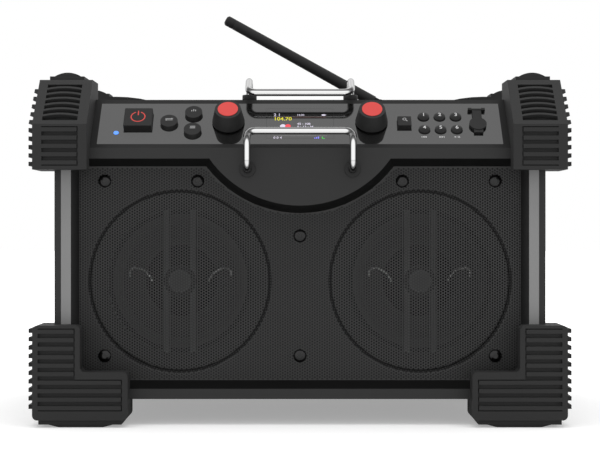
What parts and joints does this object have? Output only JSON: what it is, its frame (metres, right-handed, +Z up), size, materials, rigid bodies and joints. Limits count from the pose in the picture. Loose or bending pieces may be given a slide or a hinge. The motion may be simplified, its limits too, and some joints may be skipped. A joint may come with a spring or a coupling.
{
  "type": "jobsite radio",
  "caption": "Rugged jobsite radio with rubber corner guards, a perforated speaker front, a sloped control panel under two roll bars and a tilting antenna.",
  "frame": {"origin": "on the ground, in the middle of the width and of the depth", "axes": "+Z up, -Y out of the speaker front, +X to the right as seen from the front"},
  "size_m": [0.442, 0.266, 0.3609],
  "materials": {
    "housing_plastic": "matte",
    "guard_rubber": "matte",
    "trim_metal": "satin",
    "grille_metal": "satin",
    "screw_black": "satin",
    "steel_painted": "satin",
    "steel": "satin",
    "magnet": "matte",
    "rubber_black": "matte",
    "dark_plastic": "satin",
    "cone_paper": "matte",
    "overlay_gloss": "gloss",
    "display_glass": "gloss",
    "board": "satin",
    "lamp_blue": "gloss",
    "knob_plastic": "satin",
    "red_plastic": "satin",
    "chrome": "polished",
    "antenna_rubber": "matte",
    "button_rubber": "satin"
  },
  "bodies": {
    "cabinet": {"front_housing": "housing_plastic", "rear_housing": "housing_plastic", "door_hinge_pin": "steel", "side_trims": "trim_metal", "speaker_grille": "grille_metal", "grille_screws": "screw_black", "speaker_baskets": "steel_painted", "speaker_magnets": "magnet", "speaker_surrounds": "rubber_black", "tweeter_bridges": "dark_plastic", "panel_overlay": "overlay_gloss", "display_lens": "display_glass", "display_module": "dark_plastic", "control_board": "board", "status_led": "lamp_blue", "encoder_bodies": "dark_plastic", "aux_socket": "dark_plastic", "aux_cover_anchor": "steel", "roll_bar_front": "chrome", "roll_bar_rear": "chrome", "roll_bar_sockets": "dark_plastic", "antenna_socket": "dark_plastic", "battery_bay": "dark_plastic", "mains_inlet": "dark_plastic", "main_board": "board", "power_supply": "steel_painted", "housing_screws": "screw_black", "guard_front_upper_right": "guard_rubber", "guard_front_upper_left": "guard_rubber", "guard_front_lower_right": "guard_rubber", "guard_front_lower_left": "guard_rubber", "guard_rear_upper_right": "guard_rubber", "guard_rear_upper_left": "guard_rubber", "guard_rear_lower_right": "guard_rubber", "guard_rear_lower_left": "guard_rubber"},
    "power_button": {"power_button": "button_rubber"},
    "source_button": {"source_button": "button_rubber"},
    "tone_button": {"tone_button": "button_rubber"},
    "info_button": {"info_button": "button_rubber"},
    "search_button": {"search_button": "button_rubber"},
    "preset_button_1": {"preset_button_1": "button_rubber"},
    "preset_button_2": {"preset_button_2": "button_rubber"},
    "preset_button_3": {"preset_button_3": "button_rubber"},
    "preset_button_4": {"preset_button_4": "button_rubber"},
    "preset_button_5": {"preset_button_5": "button_rubber"},
    "preset_button_6": {"preset_button_6": "button_rubber"},
    "volume_dial": {"volume_knob": "knob_plastic", "volume_knob_cap": "red_plastic", "volume_knob_shaft": "steel"},
    "tuning_dial": {"tuning_knob": "knob_plastic", "tuning_knob_cap": "red_plastic", "tuning_knob_shaft": "steel"},
    "antenna_base": {"antenna_foot": "knob_plastic", "antenna_pin": "steel"},
    "antenna": {"antenna_whip": "antenna_rubber"},
    "port_cover": {"aux_port_cover": "rubber_black"},
    "door": {"battery_door": "housing_plastic"},
    "cone_left": {"woofer_cone_left": "cone_paper"},
    "cone_right": {"woofer_cone_right": "cone_paper"}
  },
  "joints": [
    {"name": "power_press", "type": "slide", "parent": "cabinet", "child": "power_button", "axis": [0, 0.7337, -0.6794], "range_m": [0, 0.0008], "stiffness_N_per_m": 1500},
    {"name": "source_press", "type": "slide", "parent": "cabinet", "child": "source_button", "axis": [0, 0.7337, -0.6794], "range_m": [0, 0.0008], "stiffness_N_per_m": 1500},
    {"name": "tone_press", "type": "slide", "parent": "cabinet", "child": "tone_button", "axis": [0, 0.7337, -0.6794], "range_m": [0, 0.0008], "stiffness_N_per_m": 1500},
    {"name": "info_press", "type": "slide", "parent": "cabinet", "child": "info_button", "axis": [0, 0.7337, -0.6794], "range_m": [0, 0.0008], "stiffness_N_per_m": 1500},
    {"name": "search_press", "type": "slide", "parent": "cabinet", "child": "search_button", "axis": [0, 0.7337, -0.6794], "range_m": [0, 0.0008], "stiffness_N_per_m": 1500},
    {"name": "preset_1_press", "type": "slide", "parent": "cabinet", "child": "preset_button_1", "axis": [0, 0.7337, -0.6794], "range_m": [0, 0.0008], "stiffness_N_per_m": 1500},
    {"name": "preset_2_press", "type": "slide", "parent": "cabinet", "child": "preset_button_2", "axis": [0, 0.7337, -0.6794], "range_m": [0, 0.0008], "stiffness_N_per_m": 1500},
    {"name": "preset_3_press", "type": "slide", "parent": "cabinet", "child": "preset_button_3", "axis": [0, 0.7337, -0.6794], "range_m": [0, 0.0008], "stiffness_N_per_m": 1500},
    {"name": "preset_4_press", "type": "slide", "parent": "cabinet", "child": "preset_button_4", "axis": [0, 0.7337, -0.6794], "range_m": [0, 0.0008], "stiffness_N_per_m": 1500},
    {"name": "preset_5_press", "type": "slide", "parent": "cabinet", "child": "preset_button_5", "axis": [0, 0.7337, -0.6794], "range_m": [0, 0.0008], "stiffness_N_per_m": 1500},
    {"name": "preset_6_press", "type": "slide", "parent": "cabinet", "child": "preset_button_6", "axis": [0, 0.7337, -0.6794], "range_m": [0, 0.0008], "stiffness_N_per_m": 1500},
    {"name": "volume_turn", "type": "hinge", "parent": "cabinet", "child": "volume_dial", "pos_m": [-0.0595, -0.09668, 0.24914], "axis": [0, -0.7337, 0.6794], "continuous": true},
    {"name": "tuning_turn", "type": "hinge", "parent": "cabinet", "child": "tuning_dial", "pos_m": [0.0595, -0.09668, 0.24914], "axis": [0, -0.7337, 0.6794], "continuous": true},
    {"name": "antenna_swivel", "type": "hinge", "parent": "cabinet", "child": "antenna_base", "pos_m": [0.0751, 0.067, 0.2718], "axis": [0, 0, 1], "range_deg": [-175, 175]},
    {"name": "antenna_tilt", "type": "hinge", "parent": "antenna_base", "child": "antenna", "pos_m": [0.0751, 0.067, 0.2771], "axis": [0, 1, 0], "range_deg": [-15, 60]},
    {"name": "port_cover_swing", "type": "hinge", "parent": "cabinet", "child": "port_cover", "pos_m": [0.1477, -0.08821, 0.2605], "axis": [-1, 0, 0], "range_deg": [0, 110]},
    {"name": "door_swing", "type": "hinge", "parent": "cabinet", "child": "door", "pos_m": [0, 0.1205, 0.0685], "axis": [-1, 0, 0], "range_deg": [0, 100]},
    {"name": "cone_left_stroke", "type": "slide", "parent": "cabinet", "child": "cone_left", "axis": [0, -1, 0], "range_m": [-0.0008, 0.0008], "stiffness_N_per_m": 2000},
    {"name": "cone_right_stroke", "type": "slide", "parent": "cabinet", "child": "cone_right", "axis": [0, -1, 0], "range_m": [-0.0008, 0.0008], "stiffness_N_per_m": 2000}
  ]
}
